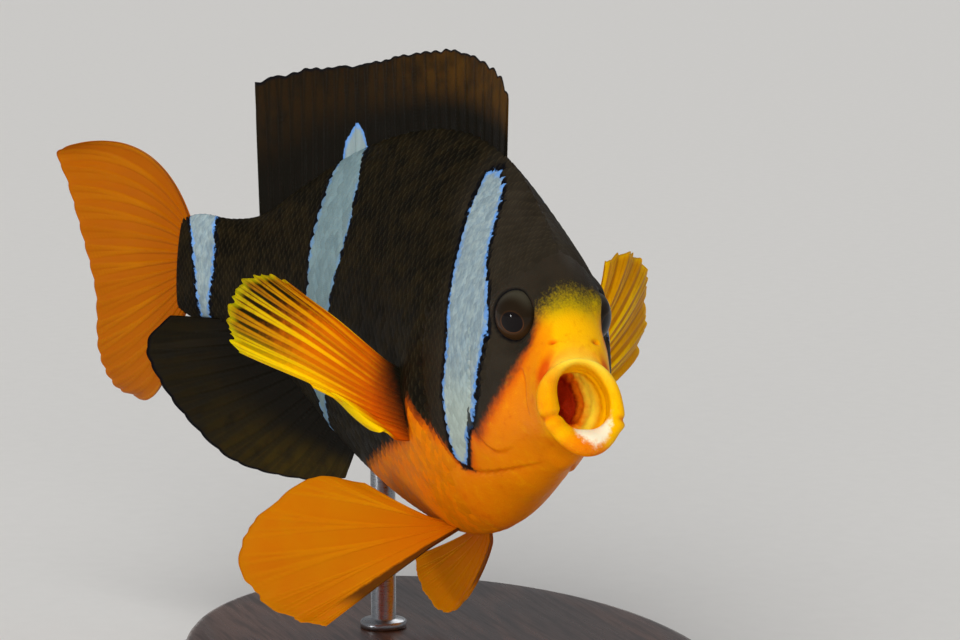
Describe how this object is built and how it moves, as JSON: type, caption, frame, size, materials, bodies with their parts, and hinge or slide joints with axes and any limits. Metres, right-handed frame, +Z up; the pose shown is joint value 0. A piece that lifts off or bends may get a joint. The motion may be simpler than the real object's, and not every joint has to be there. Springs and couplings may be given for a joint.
{
  "type": "museum fish model",
  "caption": "Clark's anemonefish as a still, life-size museum model, mouth open and tail swung to its right, held over a flat oval base by a rod.",
  "frame": {"origin": "centre of the flat underside of the stand's base", "axes": "+X the way the head faces, +Y the fish's left, +Z up"},
  "size_m": [0.1064, 0.0637, 0.0764],
  "materials": {
    "skin_black": "satin black skin",
    "skin_yellow": "satin yellow skin",
    "skin_orange": "satin orange skin",
    "eye": "wet and clear",
    "wood": "dark stained, satin",
    "steel": "brushed"
  },
  "bodies": {
    "root": {"head": "skin_black", "trunk": "skin_black", "tail_stalk": "skin_black", "gill_cover_left": "skin_black", "gill_cover_right": "skin_black", "dorsal_fin_spiny": "skin_black", "dorsal_fin_soft": "skin_black", "anal_fin": "skin_black", "jaw_upper": "skin_yellow", "pectoral_fin_left": "skin_yellow", "pectoral_fin_right": "skin_yellow", "jaw_lower": "skin_orange", "caudal_fin": "skin_orange", "pelvic_fin_left": "skin_orange", "pelvic_fin_right": "skin_orange", "eye_left": "eye", "eye_right": "eye", "stand_base": "wood", "stand_rod": "steel"}
  },
  "joints": []
}
